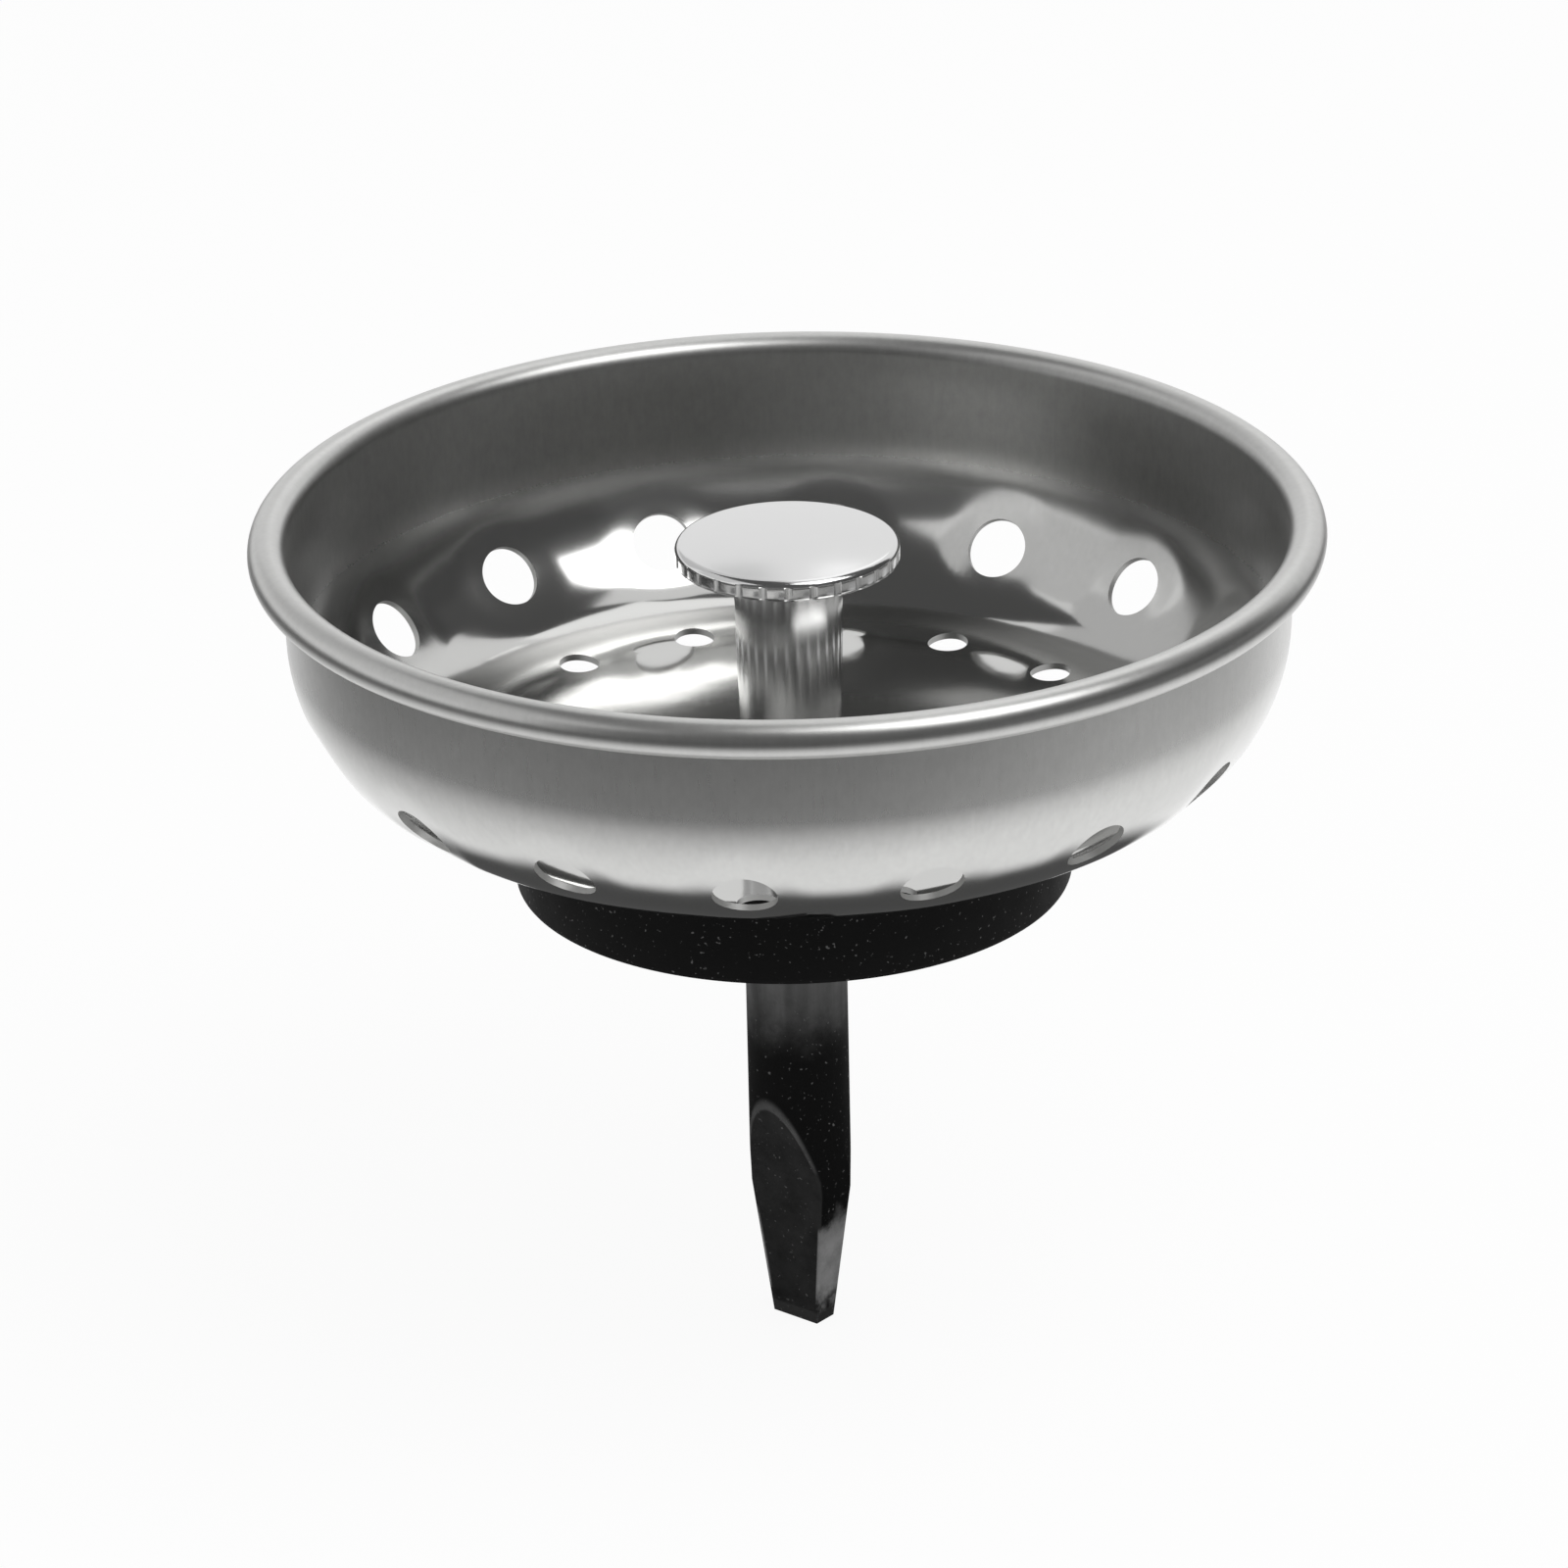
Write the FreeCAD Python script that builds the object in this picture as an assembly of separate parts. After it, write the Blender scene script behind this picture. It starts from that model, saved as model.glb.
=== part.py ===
import FreeCAD
import Part
import math
import os

# Sink strainer: a pressed basket with a pull knob above and a rubber stopper and post below.
# Millimetres. The origin is on the axis, in the plane where the stopper seals, and +Z is up.

# Basket
rim_diameter = 82.55
bead_diameter = 2.9
bead_open_angle = 62.5
sheet = 0.5
wall_draft = 2.5
basket_depth = 19.5
corner_radius = 12.9

# Drain holes
hole_count = 16
hole_phase = 6.0
side_hole_diameter = 4.9
side_hole_slope = 38.0
floor_hole_diameter = 3.2
floor_ring_inset = 12.1

# Knob
knob_height = 18.5
disc_diameter = 17.3
disc_thickness = 1.6
disc_edge_round = 0.3
shoulder_round = 0.6
dome_height = 0.4
neck_top_diameter = 8.45
neck_foot_diameter = 7.7
neck_fillet = 0.6
groove_count = 28
groove_diameter = 0.6
groove_depth = 0.2

# Clamping stud, nut and washer
stud_diameter = 4.826
stud_chamfer = 0.4
knob_engagement = 9.0
post_engagement = 14.0
blind_end_room = 1.0
nut_across_flats = 9.525
nut_height = 3.2
washer_diameter = 14.3
washer_thickness = 1.0

# Stopper
stopper_diameter = 43.2
stopper_thickness = 8.6
stopper_edge_round = 0.5
recess_room = 1.8

# Post
post_diameter = 7.94
post_length = 38.4
tip_width = 4.35
tip_thickness = 2.1
wide_flat_length = 13.1
wide_flat_thickness = 3.95
run_out_length = 6.3
run_out_round = 12.0
narrow_flat_length = 15.4
tip_turn = 50.3

# Clearances on the radius
thread_clearance = 0.05
turning_clearance = 0.08
passing_clearance = 0.15
washer_clearance = 0.25

# Heights and radii that follow from the sizes above
stud_radius = stud_diameter / 2
floor_underside = stopper_thickness
floor_top = floor_underside + sheet
bead_height = floor_underside + basket_depth
bead_radius = bead_diameter / 2
bead_ring_radius = rim_diameter / 2 - bead_radius
draft = math.radians(wall_draft)
recess_depth = washer_thickness + nut_height
axis_up = FreeCAD.Vector(0, 0, 1)
origin = FreeCAD.Vector(0, 0, 0)

# The corner between wall and floor is an arc that is tangent to both
corner_height = floor_underside + corner_radius
wall_radius = (
    bead_ring_radius
    - (bead_radius - sheet) / math.cos(draft)
    - (bead_height - corner_height) * math.tan(draft)
)
corner_ring_radius = wall_radius - corner_radius / math.cos(draft)
floor_ring_radius = wall_radius - floor_ring_inset


def point(radius, height):
    """A point of a section, in the XZ plane."""
    return FreeCAD.Vector(radius, 0, height)


def on_circle(centre, radius, angle):
    """The point of a section circle at an angle in radians from the outward direction."""
    return centre + point(radius * math.cos(angle), radius * math.sin(angle))


def arc(centre, radius, start, end):
    """An arc of a section circle between two angles in radians."""
    middle = (start + end) / 2
    curve = Part.Arc(
        on_circle(centre, radius, start),
        on_circle(centre, radius, middle),
        on_circle(centre, radius, end),
    )
    return curve.toShape()


def revolved(edges):
    """The solid that a closed section makes when it turns once round the axis."""
    section = Part.Face(Part.Wire(edges))
    return section.revolve(origin, axis_up, 360)


def line(start, end):
    """A straight edge of a section."""
    return Part.makeLine(start, end)


def turned_copies(shape, count, phase):
    """Copies of a cutter spread evenly round the axis."""
    copies = []
    for index in range(count):
        copy = shape.copy()
        copy.rotate(origin, axis_up, phase + index * 360 / count)
        copies.append(copy)
    return copies


def cylinder(radius, bottom, top):
    """An upright cylinder on the axis."""
    return Part.makeCylinder(radius, top - bottom, point(0, bottom))


def basket():
    """The pressed cup: flat floor, rounded corner, drafted wall and a rim curled outwards."""
    bead = point(bead_ring_radius, bead_height)
    corner = point(corner_ring_radius, corner_height)
    curl_start = math.pi - draft
    curl_end = math.radians(bead_open_angle) - math.pi
    inner_bead = bead_radius - sheet
    inner_corner = corner_radius - sheet
    hole_radius = stud_radius + turning_clearance
    floor_start = -math.pi / 2
    edges = [
        line(point(hole_radius, floor_top), point(corner_ring_radius, floor_top)),
        arc(corner, inner_corner, floor_start, -draft),
        line(on_circle(corner, inner_corner, -draft), on_circle(bead, bead_radius, curl_start)),
        arc(bead, bead_radius, curl_start, curl_end),
        line(on_circle(bead, bead_radius, curl_end), on_circle(bead, inner_bead, curl_end)),
        arc(bead, inner_bead, curl_end, curl_start),
        line(on_circle(bead, inner_bead, curl_start), on_circle(corner, corner_radius, -draft)),
        arc(corner, corner_radius, -draft, floor_start),
        line(point(corner_ring_radius, floor_underside), point(hole_radius, floor_underside)),
        line(point(hole_radius, floor_underside), point(hole_radius, floor_top)),
    ]
    cup = revolved(edges)
    return cup.cut(side_hole_cutters() + floor_hole_cutters())


def side_hole_cutters():
    """Round punches square to the rounded corner."""
    slope = -math.radians(side_hole_slope)
    corner = point(corner_ring_radius, corner_height)
    start = on_circle(corner, corner_radius / 2, slope)
    along = point(math.cos(slope), math.sin(slope))
    punch = Part.makeCylinder(side_hole_diameter / 2, corner_radius, start, along)
    return turned_copies(punch, hole_count, 90 - hole_phase)


def floor_hole_cutters():
    """Round punches through the floor, in line with those of the corner."""
    start = point(floor_ring_radius, 0)
    punch = Part.makeCylinder(floor_hole_diameter / 2, corner_height, start, axis_up)
    return turned_copies(punch, hole_count, 90 - hole_phase)


def knob():
    """A turned knob in one piece: tapered neck, domed disc with a coin edge, and a blind tapped hole."""
    foot_radius = neck_foot_diameter / 2
    neck_radius = neck_top_diameter / 2
    disc_radius = disc_diameter / 2
    under_radius = disc_radius - disc_edge_round
    dome_rim = disc_radius - shoulder_round
    shoulder = floor_top + knob_height
    under = shoulder - disc_thickness
    fillet_centre = point(neck_radius + neck_fillet, under - neck_fillet)
    lower_round = point(under_radius, under + disc_edge_round)
    upper_round = point(dome_rim, shoulder - shoulder_round)
    dome_radius = (dome_rim ** 2 + dome_height ** 2) / (2 * dome_height)
    dome_centre = point(0, shoulder + dome_height - dome_radius)
    quarter = math.pi / 2
    dome_edge = quarter - math.asin(dome_rim / dome_radius)
    edges = [
        line(point(0, floor_top), point(foot_radius, floor_top)),
        line(point(foot_radius, floor_top), point(neck_radius, under - neck_fillet)),
        arc(fillet_centre, neck_fillet, 2 * quarter, quarter),
        line(point(neck_radius + neck_fillet, under), point(under_radius, under)),
        arc(lower_round, disc_edge_round, -quarter, 0),
        line(point(disc_radius, under + disc_edge_round), point(disc_radius, shoulder - shoulder_round)),
        arc(upper_round, shoulder_round, 0, quarter),
        arc(dome_centre, dome_radius, dome_edge, quarter),
        line(point(0, shoulder + dome_height), point(0, floor_top)),
    ]
    body = revolved(edges)
    groove_radius = groove_diameter / 2
    groove_start = point(disc_radius + groove_radius - groove_depth, under)
    groove = Part.makeCylinder(groove_radius, disc_thickness, groove_start)
    grooves = turned_copies(groove, groove_count, 0)
    tapped_depth = knob_engagement + blind_end_room
    tapped = cylinder(stud_radius + thread_clearance, floor_top, floor_top + tapped_depth)
    return body.cut(grooves + [tapped])


def stud():
    """The threaded rod that ties knob, basket, stopper and post together, with plain flanks."""
    bottom = -post_engagement
    top = floor_top + knob_engagement
    rod = cylinder(stud_radius, bottom, top)
    ends = [edge for edge in rod.Edges if len(edge.Vertexes) == 1]
    return rod.makeChamfer(stud_chamfer, ends)


def stopper():
    """The rubber disc under the basket, with a recess below for the washer and the nut."""
    outer = stopper_diameter / 2
    disc = cylinder(outer, 0, stopper_thickness)
    rims = [edge for edge in disc.Edges if len(edge.Vertexes) == 1]
    disc = disc.makeFillet(stopper_edge_round, rims)
    recess = cylinder(washer_diameter / 2 + recess_room, 0, recess_depth)
    hole = cylinder(stud_radius + passing_clearance, 0, stopper_thickness)
    return disc.cut([recess, hole])


def backing_washer():
    """The flat ring that spreads the nut's load over the rubber."""
    ring = cylinder(washer_diameter / 2, nut_height, recess_depth)
    hole = cylinder(stud_radius + washer_clearance, nut_height, recess_depth)
    return ring.cut(hole)


def clamp_nut():
    """The hexagon nut that clamps the stopper against the basket."""
    corner_distance = nut_across_flats / math.sqrt(3)
    corners = []
    for index in range(7):
        angle = math.radians(60 * index)
        corner = FreeCAD.Vector(corner_distance * math.cos(angle), corner_distance * math.sin(angle), 0)
        corners.append(corner)
    prism = Part.Face(Part.makePolygon(corners)).extrude(FreeCAD.Vector(0, 0, nut_height))
    chamfer_height = (corner_distance - nut_across_flats / 2) / math.sqrt(3)
    lower_cone = Part.makeCone(nut_across_flats / 2, corner_distance, chamfer_height)
    upper_cone = Part.makeCone(
        corner_distance, nut_across_flats / 2, chamfer_height, point(0, nut_height - chamfer_height)
    )
    middle = cylinder(corner_distance, chamfer_height, nut_height - chamfer_height)
    envelope = lower_cone.fuse([middle, upper_cone])
    tapped = cylinder(stud_radius + thread_clearance, 0, nut_height)
    return prism.common(envelope).cut(tapped)


def flat_wedge(flat):
    """A wedge that cuts a flat. The flat is a section line from the tip upwards."""
    tip = flat[0]
    end = flat[-1]
    outside = [point(post_diameter, end.z), point(post_diameter, tip.z)]
    section = Part.makePolygon(flat + outside + [tip])
    wedge = Part.Face(section).extrude(FreeCAD.Vector(0, 2 * post_diameter, 0))
    wedge.translate(FreeCAD.Vector(0, -post_diameter, 0))
    return wedge


def post():
    """The rubber peg on the stud's lower end, with two pairs of tapered flats at its tip."""
    post_radius = post_diameter / 2
    peg = cylinder(post_radius, -post_length, 0)
    wide_flat = [
        point(tip_thickness / 2, -post_length),
        point(wide_flat_thickness / 2, wide_flat_length - post_length),
        point(post_radius, wide_flat_length + run_out_length - post_length),
    ]
    narrow_flat = [
        point(tip_width / 2, -post_length),
        point(post_radius, narrow_flat_length - post_length),
    ]
    wide_wedge = flat_wedge(wide_flat)
    fold_height = wide_flat[1].z
    folds = [edge for edge in wide_wedge.Edges if abs(edge.CenterOfMass.z - fold_height) < sheet / 10]
    wide_wedge = wide_wedge.makeFillet(run_out_round, folds)
    wide = turned_copies(wide_wedge, 2, 0)
    narrow = turned_copies(flat_wedge(narrow_flat), 2, 90)
    socket_depth = post_engagement + blind_end_room
    socket = cylinder(stud_radius + thread_clearance, -socket_depth, 0)
    peg = peg.cut(wide + narrow + [socket])
    peg.rotate(origin, axis_up, tip_turn)
    return peg


pieces = {
    "basket": basket,
    "knob": knob,
    "stud": stud,
    "stopper": stopper,
    "backing_washer": backing_washer,
    "clamp_nut": clamp_nut,
    "post": post,
}

os.makedirs("parts", exist_ok=True)
for name, make in pieces.items():
    solid = make()
    solid.exportStep("parts/" + name + ".step")
    print(name, "solids", len(solid.Solids), "valid", solid.isValid(), "volume", round(solid.Volume, 1))
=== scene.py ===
import math

import bpy
from bpy.props import FloatProperty, FloatVectorProperty, IntProperty, PointerProperty
from bpy.types import Operator, Panel, PropertyGroup
from mathutils import Matrix, Vector


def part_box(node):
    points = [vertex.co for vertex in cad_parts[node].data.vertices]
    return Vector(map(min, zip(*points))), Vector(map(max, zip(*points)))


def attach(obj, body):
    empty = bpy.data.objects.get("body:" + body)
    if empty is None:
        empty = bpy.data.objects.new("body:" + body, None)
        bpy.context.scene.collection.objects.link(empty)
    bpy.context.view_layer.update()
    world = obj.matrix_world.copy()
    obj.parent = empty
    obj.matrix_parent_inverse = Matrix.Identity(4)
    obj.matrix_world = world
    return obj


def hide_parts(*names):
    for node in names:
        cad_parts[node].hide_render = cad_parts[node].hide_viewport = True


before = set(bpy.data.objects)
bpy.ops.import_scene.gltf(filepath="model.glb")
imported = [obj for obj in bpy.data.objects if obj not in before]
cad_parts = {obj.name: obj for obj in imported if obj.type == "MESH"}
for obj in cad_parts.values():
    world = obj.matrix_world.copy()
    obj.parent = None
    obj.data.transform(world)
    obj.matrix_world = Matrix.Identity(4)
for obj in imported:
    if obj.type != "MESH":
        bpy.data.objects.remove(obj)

bl_info = {
    "name": "Sink strainer",
    "version": (1, 0, 0),
    "blender": (4, 5, 0),
    "location": "3D View > Sidebar > Strainer",
    "description": "Models and finishes a sink strainer in a small studio",
    "category": "Object",
}

MM = 0.001
QUARTER = math.pi / 2
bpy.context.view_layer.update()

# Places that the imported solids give
BASKET_LOW, BASKET_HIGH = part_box("basket")
KNOB_LOW, KNOB_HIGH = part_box("knob")
POST_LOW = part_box("post")[0]
STOPPER_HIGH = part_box("stopper")[1]
STUD_LOW, STUD_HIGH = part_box("stud")
FLOOR_TOP = KNOB_LOW.z

# Steps round the axis, and of a groove of the coin edge
BASKET_STEPS = 320
STOPPER_STEPS = 192
POST_STEPS = 96
STUD_STEPS = 48
GROOVE_STEPS = 12

# Cutters for the holes
PUNCH_STEPS = 96
PUNCH_LENGTH = 6.0 * MM

# Vertices closer than the first are doubles, and edges shorter than the second are slivers
DOUBLE = 0.0005 * MM
SLIVER = 0.0001 * MM


def length(name, description, millimetres):
    """A length that a user can change."""
    return FloatProperty(
        name=name, description=description, default=millimetres * MM, unit="LENGTH"
    )


def angle(name, description, degrees):
    """An angle that a user can change."""
    return FloatProperty(
        name=name, description=description, default=math.radians(degrees), subtype="ANGLE"
    )


def count(name, description, number):
    """A number of like features that a user can change."""
    return IntProperty(name=name, description=description, default=number, min=1)


def colour(name, description, red, green, blue):
    """A colour that a user can change."""
    return FloatVectorProperty(
        name=name, description=description, default=(red, green, blue, 1.0),
        size=4, min=0.0, max=1.0, subtype="COLOR",
    )


class BasketShape(PropertyGroup):
    """Sizes of the pressed basket."""

    sheet: length("Sheet", "Thickness of the steel", 0.5)
    bead: length("Bead", "Thickness of the curled rim", 2.9)
    opening: angle("Curl opening", "How far the curl stays open on its outside", 62.5)
    draft: angle("Draft", "How far the wall leans outwards", 2.5)
    corner: length("Corner", "Outer radius of the corner between wall and floor", 12.9)
    centre_hole: length("Centre hole", "Radius of the hole for the stud", 2.493)
    holes: count("Holes", "Number of holes in each ring", 16)
    phase: angle("Hole turn", "How far the rings are turned", 84.0)
    side_hole: length("Side hole", "Radius of a hole in the corner", 2.45)
    side_slope: angle("Side slope", "How far down the corner its holes sit", 38.0)
    floor_hole: length("Floor hole", "Radius of a hole in the floor", 1.6)
    floor_inset: length("Floor ring inset", "From the wall to the ring of floor holes", 12.1)
    dish: length("Dish", "How far punching has pushed the edge of a side hole inwards", 0.16)
    dish_width: length("Dish width", "How far that push spreads round a hole", 2.8)


class KnobShape(PropertyGroup):
    """Sizes of the pull knob."""

    foot: length("Foot", "Radius of the neck on the basket's floor", 3.85)
    neck: length("Neck", "Radius of the neck under the disc", 4.225)
    fillet: length("Fillet", "Radius between neck and disc", 0.6)
    rim: length("Rim", "Thickness of the disc at its edge", 1.6)
    edge_round: length("Edge round", "Radius of the disc's lower edge", 0.3)
    shoulder: length("Shoulder", "Radius of the disc's upper edge", 0.6)
    dome: length("Dome", "Rise of the disc's top", 0.4)
    bore: length("Bore", "Radius of the tapped hole", 2.463)
    bore_depth: length("Bore depth", "Depth of the tapped hole", 10.0)
    grooves: count("Grooves", "Number of grooves in the coin edge", 28)
    groove_depth: length("Groove depth", "Depth of the coin edge", 0.2)


class StudShape(PropertyGroup):
    """Sizes of the threaded stud."""

    pitch: length("Pitch", "Pitch of the thread", 1.0583)
    depth: length("Depth", "Depth of the thread", 0.6)
    chamfer: length("Chamfer", "Chamfer of the stud's ends", 0.4)


class StopperShape(PropertyGroup):
    """Sizes of the rubber stopper."""

    edge_round: length("Edge round", "Radius of the stopper's edges", 0.5)
    recess: length("Recess", "Radius of the room for the washer and the nut", 8.95)
    recess_depth: length("Recess depth", "Depth of the room for the washer and the nut", 4.2)
    hole: length("Hole", "Radius of the stud's hole", 2.493)


class PostShape(PropertyGroup):
    """Sizes of the rubber post."""

    radius: length("Radius", "Radius of the post", 3.97)
    tip_thickness: length("Tip thickness", "Distance between the wide flats at the tip", 2.1)
    tip_width: length("Tip width", "Distance between the narrow flats at the tip", 4.35)
    wide_length: length("Wide flat", "Length of a wide flat", 13.1)
    wide_thickness: length("Wide thickness", "Between the wide flats at their upper ends", 3.95)
    run_out: length("Run-out", "Length of the slope above a wide flat", 6.3)
    fold: length("Fold", "How far the fold below that slope is rounded", 1.4)
    narrow_length: length("Narrow flat", "Length of a narrow flat", 15.4)
    turn: angle("Turn", "How far the flats are turned", 50.3)
    socket: length("Socket", "Radius of the stud's hole", 2.463)
    socket_depth: length("Socket depth", "Depth of the stud's hole", 15.0)
    softness: length("Softness", "Rounding of the moulded edges", 0.2)


class FinishColours(PropertyGroup):
    """Colours of the finishes."""

    steel: colour("Steel", "Colour of the pressed steel", 0.60, 0.60, 0.59)
    chrome: colour("Chrome", "Colour of the knob's plating", 0.68, 0.68, 0.68)
    zinc: colour("Zinc", "Colour of the plated hardware", 0.58, 0.58, 0.56)
    rubber: colour("Rubber", "Colour of the black rubber", 0.004, 0.004, 0.004)
    # This pale colour also paints the sheen on the post's root and the highlight along its slope
    bloom_and_sheen: colour("Bloom", "Colour of the pale film on worn rubber", 0.26, 0.26, 0.26)


class StudioSettings(PropertyGroup):
    """The camera's place."""

    elevation: angle("Elevation", "How far the camera looks down", 23.47)
    roll: angle("Roll", "How far the camera leans over", -1.28)
    distance: length("Distance", "From the camera to the middle of the rim", 700.0)


def start_section(name, radius, height):
    """A new object in edit mode with one vertex, where a section starts."""
    bpy.ops.object.select_all(action="DESELECT")
    bpy.ops.mesh.primitive_plane_add(size=MM)
    piece = bpy.context.object
    piece.name = name
    piece.data.name = name
    bpy.ops.object.mode_set(mode="EDIT")
    bpy.ops.mesh.merge(type="CENTER")
    bpy.ops.transform.translate(value=(radius, 0.0, height))
    return piece


def draw_line(across, up, steps=1):
    """Goes on from the section's last vertex in a straight line."""
    step = (across / steps, 0.0, up / steps)
    for _ in range(steps):
        bpy.ops.mesh.extrude_vertices_move(TRANSFORM_OT_translate={"value": step})


def draw_arc(radius, height, turn, steps):
    """Goes on from the section's last vertex round a centre, upwards from outside if positive."""
    bpy.ops.mesh.spin(steps=steps, angle=turn, center=(radius, 0.0, height), axis=(0.0, 1.0, 0.0))


def turn_section(steps):
    """Turns the section once round the axis into a closed skin."""
    bpy.ops.mesh.select_all(action="SELECT")
    bpy.ops.mesh.spin(
        steps=steps, angle=2 * math.pi, center=(0.0, 0.0, 0.0), axis=(0.0, 0.0, 1.0)
    )
    close_skin()
    bpy.ops.object.mode_set(mode="OBJECT")


def close_skin():
    """Merges doubles and turns all faces outwards."""
    bpy.ops.mesh.select_all(action="SELECT")
    bpy.ops.mesh.remove_doubles(threshold=DOUBLE)
    bpy.ops.mesh.dissolve_degenerate(threshold=SLIVER)
    bpy.ops.mesh.select_all(action="SELECT")
    bpy.ops.mesh.normals_make_consistent(inside=False)


def pick(piece):
    """Makes a piece the only selected and active object."""
    bpy.ops.object.select_all(action="DESELECT")
    piece.select_set(True)
    bpy.context.view_layer.objects.active = piece


def apply_modifier(piece, kind, **settings):
    """Adds one modifier and applies it."""
    pick(piece)
    modifier = piece.modifiers.new(kind.lower(), kind)
    for name, value in settings.items():
        setattr(modifier, name, value)
    bpy.ops.object.modifier_apply(modifier=modifier.name)


def cut(piece, cutters, operation="DIFFERENCE"):
    """Joins the cutters, cuts the piece with them and takes them away."""
    pick(cutters[0])
    for cutter in cutters:
        cutter.select_set(True)
    if len(cutters) > 1:
        bpy.ops.object.join()
    bpy.ops.object.transform_apply(location=True, rotation=True, scale=True)
    tool = bpy.context.object
    apply_modifier(piece, "BOOLEAN", object=tool, operation=operation, solver="EXACT")
    bpy.data.objects.remove(tool)


def select_vertices(piece, test):
    """Selects the vertices that pass a test on their place, from edit mode and back to it."""
    bpy.ops.mesh.select_all(action="DESELECT")
    bpy.ops.object.mode_set(mode="OBJECT")
    for vertex in piece.data.vertices:
        vertex.select = test(vertex.co)
    bpy.ops.object.mode_set(mode="EDIT")


def smooth(piece, degrees):
    """Smooth shading, apart from edges sharper than an angle."""
    pick(piece)
    bpy.ops.object.shade_smooth_by_angle(angle=math.radians(degrees))


def stand_for(piece, node, body, material):
    """Puts a finished piece in a CAD node's place."""
    piece.data.materials.clear()
    piece.data.materials.append(material)
    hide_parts(node)
    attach(piece, body)


def dress(node, material):
    """Gives a CAD node its finish."""
    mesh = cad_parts[node].data
    mesh.materials.clear()
    mesh.materials.append(material)


def feed(tree, socket, value):
    """Sets a socket to a value, or links it to a signal."""
    if isinstance(value, Signal):
        tree.links.new(value.socket, socket)
    else:
        socket.default_value = value


class Signal:
    """A shader socket that takes part in Python arithmetic."""

    def __init__(self, tree, socket):
        self.tree = tree
        self.socket = socket

    def maths(self, operation, *values):
        """The result of one Math node."""
        node = self.tree.nodes.new("ShaderNodeMath")
        node.operation = operation
        for socket, value in zip(node.inputs, values):
            feed(self.tree, socket, value)
        return Signal(self.tree, node.outputs[0])

    def __add__(self, other):
        return self.maths("ADD", self, other)

    def __radd__(self, other):
        return self.maths("ADD", other, self)

    def __sub__(self, other):
        return self.maths("SUBTRACT", self, other)

    def __rsub__(self, other):
        return self.maths("SUBTRACT", other, self)

    def __mul__(self, other):
        return self.maths("MULTIPLY", self, other)

    def __rmul__(self, other):
        return self.maths("MULTIPLY", other, self)

    def __truediv__(self, other):
        return self.maths("DIVIDE", self, other)

    def __pow__(self, other):
        return self.maths("POWER", self, other)

    def larger(self, other):
        """The larger of two signals."""
        return self.maths("MAXIMUM", self, other)

    def size(self):
        """The signal without its sign."""
        return self.maths("ABSOLUTE", self)


class Finish:
    """A material or the world, under construction."""

    def __init__(self, name, owners="materials"):
        self.owner = getattr(bpy.data, owners).new(name)
        self.owner.use_nodes = True
        self.tree = self.owner.node_tree
        self.tree.nodes.clear()

    def add(self, kind, settings=None, inputs=None, output=0):
        """Adds one node and returns one of its outputs as a signal."""
        node = self.tree.nodes.new("ShaderNode" + kind)
        for name, value in (settings or {}).items():
            setattr(node, name, value)
        for name, value in (inputs or {}).items():
            feed(self.tree, node.inputs[name], value)
        return Signal(self.tree, node.outputs[output]) if node.outputs else None

    def place(self):
        """The Object coordinates of the shaded point."""
        return self.add("TexCoord", output="Object")

    def along(self, axis):
        """One Object coordinate of the shaded point."""
        return self.add("SeparateXYZ", inputs={0: self.place()}, output=axis)

    def facing(self, axis):
        """One part of the surface's normal in Object coordinates."""
        normal = self.add("TexCoord", output="Normal")
        return self.add("SeparateXYZ", inputs={0: normal}, output=axis)

    def noise(self, scale, detail=3.0, roughness=0.55):
        """Noise between 0 and 1, with a scale for each axis."""
        mapped = self.add("Mapping", inputs={"Vector": self.place(), "Scale": scale})
        return self.add(
            "TexNoise",
            inputs={"Vector": mapped, "Scale": 1.0, "Detail": detail, "Roughness": roughness},
            output="Fac",
        )

    def rise(self, signal, low, high):
        """0 below low, 1 above high, and smooth between them."""
        return self.add(
            "MapRange",
            {"interpolation_type": "SMOOTHSTEP"},
            {"Value": signal, "From Min": low, "From Max": high},
        )

    def blend(self, factor, first, second):
        """A mix of two colours."""
        return self.add("Mix", {"data_type": "RGBA"}, {0: factor, 6: first, 7: second}, output=2)

    def bump(self, height, strength, depth):
        """A normal that follows a height."""
        return self.add("Bump", inputs={"Height": height, "Strength": strength, "Distance": depth})

    def close(self, surface, end="OutputMaterial"):
        """Ends the finish in a shader."""
        self.add(end, inputs={"Surface": surface})
        return self.owner

    def principled(self, **inputs):
        """Ends the material in a Principled shader."""
        named = {name.replace("_", " "): value for name, value in inputs.items()}
        return self.close(self.add("BsdfPrincipled", inputs=named))


def grey(level):
    """A grey colour."""
    return (level, level, level, 1.0)


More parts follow.
